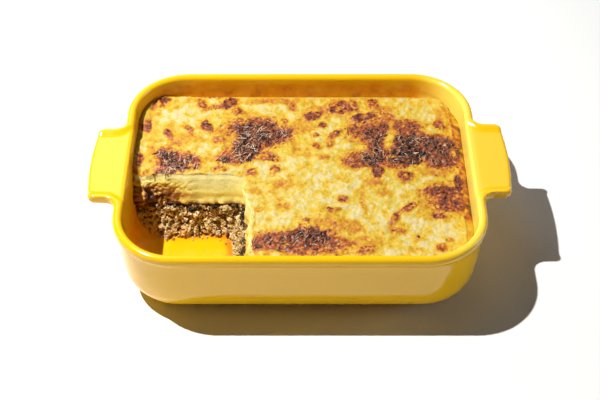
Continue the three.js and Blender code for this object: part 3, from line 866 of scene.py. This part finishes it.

# %% [markdown]
# Melted cheese is pale and creamy where it stayed soft, golden where it dried, then orange, reddish
# brown and almost black. One colour ramp holds that series, and the browning of each point, with two
# sizes of noise, picks from it. Ridges of shreds stay paler than the burnt cheese between them. Mash
# is a paler yellow, painted darker towards its foot as painted shade, and browned by gravy where it tore.

# %% Tone of the crust
# Melted cheese is fatty: fairly rough where it is pale, and glossier where it has browned and fried.
# Its golden mottles are 6.7 mm across. The flecks are drawn as 1.6 mm grains, coarser than the real
# pores, which would be too fine to show; on browned cheese they are stronger.
paint, shader = new_material("Browned cheese on mashed potato", {"Roughness": 0.45, "IOR": 1.42})
place = add_node(paint, "TexCoord", out="Object")
browned, ridge, shade_and_stain, crust_part = [add_node(paint, "Attribute", out="Fac", attribute_name=name)
                                       for name in ("browning", "ridge", "tone", "crust")]
mottle = add_node(paint, "TexNoise", {"Vector": place, "Scale": 1 / (6.7 * MM), "Detail": 2.5,
                                      "Roughness": 0.55})
speckle = add_node(paint, "TexNoise", {"Vector": place, "Scale": 1 / (1.6 * MM), "Detail": 2,
                                       "Roughness": 0.6})
golden = add_node(paint, "MapRange", [mottle, 0.42, 0.68, 0.0, 0.27])
flecks = add_node(paint, "MapRange", [speckle, 0.30, 0.70, -0.05, 0.05])
spotting = add_node(paint, "MapRange", [browned, 0.35, 0.60, 1.0, 2.8])
burnt_part = add_node(paint, "MapRange", [browned, 0.50, 0.80, 0.0, -0.30])
spots_now = add_node(paint, "Math", [flecks, spotting], operation="MULTIPLY")
paler = add_node(paint, "Math", [ridge, burnt_part], operation="MULTIPLY")
warm = add_node(paint, "Math", [browned, golden], operation="MAXIMUM")
shredded = add_node(paint, "Math", [warm, paler], operation="ADD")
crust_tone = add_node(paint, "Math", [shredded, spots_now], operation="ADD")
crust_colour = add_node(paint, "ValToRGB", [crust_tone], stops=[
    (0.00, "#CCBC8A"), (0.10, "#C9B048"), (0.20, "#C8A21E"), (0.30, "#BC821E"), (0.41, "#AE5A28"),
    (0.52, "#884428"), (0.65, "#5E3428"), (0.80, "#3A221E"), (0.95, "#1E1412")])

# %% Colour of the mash, grain and shine
# Mash is butter yellow where the spoon drew it smooth, and brown where gravy has soaked in; at its
# foot and in a band above it, it is darker with painted shade. Its flecks are half as strong.
mash_flecks = add_node(paint, "Math", [flecks, 0.5], operation="MULTIPLY")
mash_tone_now = add_node(paint, "Math", [shade_and_stain, mash_flecks], operation="ADD")
mash_colour = add_node(paint, "ValToRGB", [mash_tone_now], stops=[
    (0.00, "#F4EEA8"), (0.25, "#EEE58A"), (0.42, "#DECC5E"), (0.58, "#C89C44"), (0.74, "#965A2A"),
    (0.90, "#46220E")])
topping_colour = add_node(paint, "Mix", {0: crust_part, 6: mash_colour, 7: crust_colour},
                          out=2, data_type="RGBA")
grain = add_node(paint, "Bump", {"Height": speckle, "Strength": 0.5, "Distance": 0.6 * MM})
shine = add_node(paint, "MapRange", [browned, 0.35, 0.65, 0.58, 0.34])
fill_in(shader, {"Base Color": topping_colour, "Normal": grain, "Roughness": shine})
finish_piece(topping, "mash_with_cheese_crust", paint, ["potato_layer"])

# %% [markdown]
# Minced meat breaks into crumbs of three or four millimetres with chipped sides. A crumb starts as an
# icosphere, is made uneven with noise, and then gets a few flat chips. Ten models for the crumbs and
# ten plainer ones for their grains are enough, because every copy is turned and sized differently.

# %% Models of a crumb
CHIPS = 7


def take_model(piece):
    """The points in millimetres and the faces of a model, which is then deleted."""
    points, _ = points_of(piece)
    faces = np.array([polygon.vertices[:] for polygon in piece.data.polygons])
    activate(piece)
    bpy.ops.object.delete()
    return points, faces


def lump_model(seed, unevenness, detail=2):
    """The points and faces of one uneven lump of about 1 mm radius, from an icosahedron."""
    deselect_all()
    bpy.ops.mesh.primitive_ico_sphere_add(subdivisions=detail, radius=MM)
    points, faces = take_model(bpy.context.object)
    points *= (1 + unevenness * soft_noise(points, 0.85, seed))[:, None]
    chipping = np.random.default_rng(seed)
    for _ in range(CHIPS):
        side = chipping.normal(size=3)
        side /= np.linalg.norm(side)
        beyond = np.maximum(points @ side - chipping.uniform(0.45, 0.8), 0)
        points -= 0.9 * beyond[:, None] * side
    return points, faces


# %% Copies of a few models
def scattered(name, models, rows):
    """One piece of many copies; a row is the model's number, a matrix in mm, and a tone."""
    points, faces, tones, count = [], [], [], 0
    for index, matrix, tone in rows:
        model_points, model_faces = models[index]
        matrix = np.array(matrix)
        points.append(model_points @ matrix[:3, :3].T + matrix[:3, 3])
        faces.append(model_faces + count)
        tones.append(np.full(len(model_points), tone))
        count += len(model_points)
    mesh = bpy.data.meshes.new(name)
    mesh.from_pydata((np.concatenate(points) * MM).tolist(), [], np.concatenate(faces).tolist())
    piece = add_object(name, mesh)
    write_attribute(piece, "tone", np.concatenate(tones))
    return piece


def turned(at, radius, random):
    """The matrix of a lump at a place, turned at random and a little longer than wide."""
    turn = Matrix.Rotation(random.uniform(0, 6.28), 4, Vector(random.normal(size=3)).normalized())
    sizes = (radius * random.uniform(0.9, 1.4), radius, radius * random.uniform(0.7, 1), 1)
    return Matrix.Translation(at) @ turn @ Matrix.Diagonal(sizes)


# %% [markdown]
# The portion was lifted out, and the mince slid into a slope. Crumbs are scattered over the open faces
# of the imported solid, as many as its area asks for, each with a few grains stuck to it. Some have
# rolled out on to the bare bottom of the dish. Those right under the mash are painted dark, as painted
# shade of the recess under the mash's foot.

# %% Open faces of the mince
MODELS = 10

crumb_models = [lump_model(seed, 1.4) for seed in range(MODELS)]
crumb_models += [lump_model(seed, 1.2, detail=1) for seed in range(MODELS)]
core = copy_of("mince_layer")
slopes = []
for polygon in core.data.polygons:
    centre, normal = polygon.center / MM, polygon.normal
    at_back = -24 < centre.y < -4 and centre.x < -36 and normal.y < 0.3
    at_side = -58 < centre.x < -36 and centre.y < -4 and normal.x < 0.3
    at_wall = normal.x < -0.9 and centre.x < -100
    if (at_back or at_side) and not at_wall and 6.6 < centre.z < 30 and normal.z > -0.4:
        slopes.append(polygon)
print("models:", len(crumb_models), "open faces:", len(slopes))

# %% Places of the crumbs
CLUMPS = 860
LOOSE = 46
BARE_LEVEL = 6.4
# The slopes of mince end on the bare bottom at these lines.
TOE_X, TOE_Y = -50, -18

random = np.random.default_rng(5)
areas = np.array([polygon.area for polygon in slopes])
spots = []
for polygon_index in random.choice(len(slopes), CLUMPS, p=areas / areas.sum()):
    polygon = slopes[polygon_index]
    a, b, c = [core.data.vertices[v].co / MM for v in polygon.vertices[:3]]
    s, t = sorted(random.random(2))
    at = a * s + b * (t - s) + c * (1 - t) - polygon.normal * random.uniform(0.2, 1.6)
    spots.append((at, 0.9 + 1.5 * random.random() ** 1.6))
for _ in range(LOOSE):
    fallen = random.exponential(2.6)
    along = random.random()
    if random.random() < 0.7:
        at = Vector((-104 + along * 54, TOE_Y - 1.5 - fallen, BARE_LEVEL))
    else:
        at = Vector((TOE_X - fallen, -24 - along * 40, BARE_LEVEL))
    spots.append((at, random.uniform(0.4, 0.9)))
print("clumps and loose crumbs:", len(spots))

# %% Crumbs and their grains
# The crumbs of the left slope are painted paler than those of the right one: painted light, lifting the shade
# on the left slope.
GRAINS = 6
LEFT_TONE, RIGHT_TONE = 0.58, 0.38
RESTING_LEVEL = 6.1

rows = []
for at, radius in spots:
    middle = LEFT_TONE if at.x < -56 else RIGHT_TONE
    tone = max(0.16, middle + 0.3 * noise.noise(at / 7) + random.uniform(-0.34, 0.34))
    # Painted shade: crumbs in the recess under the mash's foot are dark.
    if at.z > 27.4 + 3.4 * noise.noise(at / 6):
        tone = random.uniform(-0.2, 0.15)
    at.z = max(at.z, RESTING_LEVEL + radius)
    rows.append((int(random.integers(MODELS)), turned(at, radius, random), tone))
    for _ in range(GRAINS):
        side = Vector(random.normal(size=3)).normalized()
        grain = at + side * radius * random.uniform(0.6, 1.1)
        grain_radius = random.uniform(0.6, 1.25) * min(1, radius)
        grain.z = max(grain.z, RESTING_LEVEL + grain_radius)
        grain_tone = tone + random.normal() * 0.12
        rows.append((MODELS + int(random.integers(MODELS)), turned(grain, grain_radius, random), grain_tone))
crumbs = scattered("mince_crumbs", crumb_models, rows)
print("lumps and grains:", len(rows))

# %% [markdown]
# Cooked mince is anything from grey tan to gravy brown, with a few bits of orange carrot and pale fat,
# and its crumbs differ more than their surface does. So each crumb has one tone, which picks its
# colour, and noise of 1.25 mm adds the fibres, a little coarser than real so that they show. The same
# recipe does for the torn scraps and the toasted shreds later on.

# %% Finish of food in bits
def toned_paint(name, look, stops, size=1.25, flecked=0.16, uneven=0.6, grainy=0.9):
    """Food in bits: the tone of each bit picks its colour, and noise of one size in mm flecks it."""
    paint, shader = new_material(name, look)
    place = add_node(paint, "TexCoord", out="Object")
    tone = add_node(paint, "Attribute", out="Fac", attribute_name="tone")
    speckle = add_node(paint, "TexNoise", {"Vector": place, "Scale": 1 / (size * MM), "Detail": 2,
                                           "Roughness": uneven})
    flecks = add_node(paint, "MapRange", [speckle, 0.3, 0.7, -flecked, flecked])
    mixed = add_node(paint, "Math", [tone, flecks], operation="ADD")
    fill_in(shader, {"Base Color": add_node(paint, "ValToRGB", [mixed], stops=stops)})
    if grainy:
        grain = add_node(paint, "Bump", {"Height": speckle, "Strength": grainy, "Distance": 0.8 * MM})
        fill_in(shader, {"Normal": grain})
    return paint


# %% Finish of the crumbs
# Drained meat is nearly matt, with only a dull gloss.
crumb_paint = toned_paint("Cooked minced meat", {"Roughness": 0.6, "IOR": 1.42}, [
    (0.0, "#2A160C"), (0.10, "#84643A"), (0.20, "#B6945A"), (0.40, "#D6C080"), (0.60, "#E4D29A"),
    (0.72, "#C0A690"), (0.84, "#D49A4A"), (1.0, "#E8C880")])
finish_piece(crumbs, "mince_crumbs", crumb_paint, ["mince_layer"], smooth=False)

# %% [markdown]
# Behind the crumbs lies the rest of the mince, in its gravy. It only shows as the dark between the
# crumbs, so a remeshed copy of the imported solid, sunk by a millimetre, is enough. It also fills the
# dish under the crust, as the real mince does.

# %% Heap behind the crumbs
# Gravy is wet, so it is shinier than the crumbs.
CORE_CELL = 1.5

even_faces(core, CORE_CELL, smoothing=3)
core_places, core_normals = points_of(core)
core_rise = 0.5 * soft_noise(core_places, 3, 31) - 0.9
core_open = (core_places[:, 2] > 7.2) & (core_places[:, 2] < 29)
write_attribute(core, "tone", 0.35 + 0.4 * soft_noise(core_places, 4, 32))
move_points(core, core_places + core_normals * (core_rise * core_open)[:, None])
core_paint = toned_paint("Dark gravy between the crumbs", {"Roughness": 0.3, "IOR": 1.42}, [
    (0.0, "#2E180A"), (0.4, "#5E3C1E"), (0.7, "#8E6A3C"), (1.0, "#B0905C")])
finish_piece(core, "mince_heap", core_paint, ["mince_layer"])

# %% [markdown]
# Over the burnt patches lie single shreds of cheese that toasted without melting: thin, a little
# curved, tan or dark. Curves with a bevel would give them too, but not the blunt tapered ends. So a
# few are modelled by extruding a ring of five points along a bow.

# %% Models of a shred
def shred_model(bow):
    """The points and triangles of a bowed shred, one millimetre long and one thick."""
    rings = []
    for along in np.linspace(-0.5, 0.5, 6):
        radius = 0.5 * (0.4 + 0.6 * math.cos(along * math.pi) ** 0.5)
        rings.append([(along, bow * along * along + radius * math.cos(a), radius * math.sin(a))
                      for a in np.linspace(0, 2 * math.pi, 6)[:-1]])
    shred = loft_piece(rings)
    open_edit(shred, "FACE", "SELECT")
    bpy.ops.mesh.quads_convert_to_tris()
    bpy.ops.object.mode_set(mode="OBJECT")
    return take_model(shred)


shred_models = [shred_model(bow) for bow in (-1.8, -1, -0.4, 0.4, 1, 1.8)]
print("shred models:", len(shred_models), "of", len(shred_models[0][1]), "triangles")

# %% [markdown]
# Copies are laid wherever the crust is brown enough. A ray shot down finds the surface, and a shred is
# laid along it, half sunk. Neighbours point about the same way, because the cheese fell from one
# grater, so noise of 22 mm turns them together. The palest ones lie on the patches at the left.

# %% Lay the shreds
# Each field is a range of x and one of y round a burnt patch, and gets its share of the shreds.
SHREDS = 1150
SHRED_LENGTH = (3.2, 8.5)
SHRED_WIDTH = (0.6, 1.05)
SHRED_FIELDS = [(-60, -5, 10, 60), (-106, -72, 0, 26), (34, 116, 8, 50), (-34, 26, -76, -52)]
SHRED_SHARES = (0.32, 0.14, 0.40, 0.14)
BROWN_ENOUGH = 0.60
DOWN = Vector((0, 0, -1))


def ray_tree(piece):
    """A piece's faces, ready to be hit by rays in millimetres."""
    points, _ = points_of(piece)
    return BVHTree.FromPolygons(points.tolist(), [polygon.vertices[:] for polygon in piece.data.polygons])


crust_tree = ray_tree(topping)
random = np.random.default_rng(11)
rows = []
while len(rows) < SHREDS:
    x0, x1, y0, y1 = SHRED_FIELDS[random.choice(len(SHRED_FIELDS), p=SHRED_SHARES)]
    start = Vector((random.uniform(x0, x1), random.uniform(y0, y1), 80))
    hit, normal, face, _ = crust_tree.ray_cast(start, DOWN)
    if hit is None or normal.z < 0.5 or brown[topping.data.polygons[face].vertices[0]] < BROWN_ENOUGH:
        continue
    angle = 0.9 + 1.8 * noise.noise(hit / 22) + random.normal() * 0.5
    along = Vector((math.cos(angle), math.sin(angle), 0))
    along = (along - normal * along.dot(normal)).normalized()
    length, width = random.uniform(*SHRED_LENGTH), random.uniform(*SHRED_WIDTH)
    lie = Matrix((along, normal.cross(along), normal)).transposed().to_4x4()
    sizes = Matrix.Diagonal((length, width, width * 0.6, 1))
    sunk = Matrix.Translation(hit + normal * random.uniform(-0.4, 0.05))
    palest = 1.0 if hit.x < 0 and hit.y > -5 else 0.72
    rows.append((int(random.integers(len(shred_models))), sunk @ lie @ sizes, palest * random.random()))
shreds = scattered("toasted_shreds", shred_models, rows)
print("shreds laid:", len(rows))

# %% Finish of the shreds
# Fried cheese is dry and hard, with a dull gloss. Toasting spots it every 2 mm or so along a shred.
shred_paint = toned_paint("Toasted shreds of cheese", {"Roughness": 0.4, "IOR": 1.46}, [
    (0.00, "#2A1A16"), (0.30, "#54362A"), (0.50, "#8A6448"), (0.66, "#BC9262"), (0.84, "#DCC098"),
    (1.00, "#C4B0AC")], size=2, flecked=0.15, uneven=0.5, grainy=0)
finish_piece(shreds, "toasted_cheese_shreds", shred_paint, ["potato_layer"])

# %% [markdown]
# Fat has run out of the mince over the bare bottom of the dish. It is a film of a few tenths of a
# millimetre, thicker at the foot of the slope, and it takes the shape of what it lies on. So a fine
# grid is laid down on the dish by rays, lifted a little, and given a thickness. At its border it
# sinks just below the glaze, which gives it a thin edge without a step.

# %% Lay the film of fat
FILM_CENTRE = (-77, -45, 0)
FILM_SIZE = (80, 70, 0)
POOL_CENTRE, POOL_HALF = (-66, -45), (22, 25)

dish_tree = ray_tree(dish)
deselect_all()
bpy.ops.mesh.primitive_grid_add(x_subdivisions=76, y_subdivisions=66, size=MM)
film = bpy.context.object
film_places, _ = points_of(film)
film_places = film_places * FILM_SIZE + FILM_CENTRE
film_normals = np.zeros_like(film_places)
for index, (x, y, _) in enumerate(film_places.tolist()):
    hit, normal, _, _ = dish_tree.ray_cast(Vector((x, y, 40)), DOWN)
    if hit is not None:
        film_places[index], film_normals[index] = hit, normal
x, y, _ = film_places.T
wet = even_step(9, 0, np.minimum(TOE_Y - y, TOE_X - x) + 5 * soft_noise(film_places, 9, 41))
wet = np.maximum(wet, even_step(0.42, 0.7, soft_noise(film_places, 6, 43)) * 0.5)
beyond = np.maximum(0, np.abs(film_places[:, :2] - POOL_CENTRE) - POOL_HALF)
outside = np.hypot(beyond[:, 0], beyond[:, 1])
spread = even_step(9, 5, outside + 2.5 * soft_noise(film_places, 7, 42))
film_height = (0.12 + 0.26 * wet) * even_step(0.1, 0.6, spread) - 0.2 * even_step(0.3, 0.05, spread)
move_points(film, film_places + film_normals * film_height[:, None])
write_attribute(film, "tone", wet)
print("film up to", round(float(film_height.max()), 2), "mm thick")

# %% Trim the film of fat
mesh = open_edit(film, "VERT", "DESELECT")
mesh.verts.ensure_lookup_table()
for index in np.nonzero(spread < 0.05)[0]:
    mesh.verts[index].select_set(True)
bpy.ops.mesh.delete(type="VERT")
bpy.ops.object.mode_set(mode="OBJECT")
apply_modifier(film, "SOLIDIFY", thickness=0.05 * MM, offset=-1)
print("film keeps", len(film.data.vertices), "points")

# %% Finish of the fat
# Liquid fat is clear and very smooth: it only deepens the yellow of the glaze, and shines. Its
# surface is drawn into low waves of 12 mm.
paint, shader = new_material("Film of fat on glaze", {"Roughness": 0.06, "IOR": 1.46})
place = add_node(paint, "TexCoord", out="Object")
tone = add_node(paint, "Attribute", out="Fac", attribute_name="tone")
film_colour = add_node(paint, "ValToRGB", [tone], stops=[
    (0.00, "#F5B60C"), (0.50, "#F4AC0C"), (0.85, "#EC9A10"), (1.0, "#DC8410")])
waves = add_node(paint, "TexNoise", {"Vector": place, "Scale": 1 / (12 * MM)})
relief = add_node(paint, "Bump", {"Height": waves, "Strength": 0.2, "Distance": 0.4 * MM})
fill_in(shader, {"Base Color": film_colour, "Normal": relief})
finish_piece(film, "film_of_fat", paint)

# %% [markdown]
# Where the spoon left the pie, at the left end of the cut, it pulled scraps of mash and gravy out of
# the face. They are the crumb models again, in many sizes and paler towards the top, set along the
# line from the crust's corner down to the mince, and kept just clear of the wall.

# %% Torn scraps
SCRAPS = 45
SCRAPS_FROM, SCRAPS_TO = Vector((-117, 1, 47)), Vector((-99, -11, 31))
CLEARANCE = 1.5

random = np.random.default_rng(23)
rows = []
for _ in range(SCRAPS):
    share = random.random()
    at = SCRAPS_FROM.lerp(SCRAPS_TO, share)
    at += Vector((random.uniform(-1, 5), random.uniform(-2, 3), random.uniform(-5, 2)))
    at.x += max(0, CLEARANCE - gap_to_wall(np.array([at[:]]))[0][0])
    tone = 0.85 - 0.45 * share + random.uniform(-0.2, 0.15)
    rows.append((int(random.integers(MODELS)), turned(at, random.uniform(0.6, 2.0), random), tone))
scraps = scattered("torn_scraps", crumb_models, rows)
print("scraps:", len(rows))

# %% Finish of the scraps
# Mash soaked with gravy is wet, so it is a little shinier than the crumbs.
scrap_paint = toned_paint("Torn mash and gravy", {"Roughness": 0.4, "IOR": 1.42}, [
    (0.0, "#3A1C0C"), (0.22, "#7E4A20"), (0.45, "#B8803C"), (0.70, "#D4AC62"), (1.0, "#E6D08C")])
finish_piece(scraps, "torn_scraps", scrap_paint, ["potato_layer"])
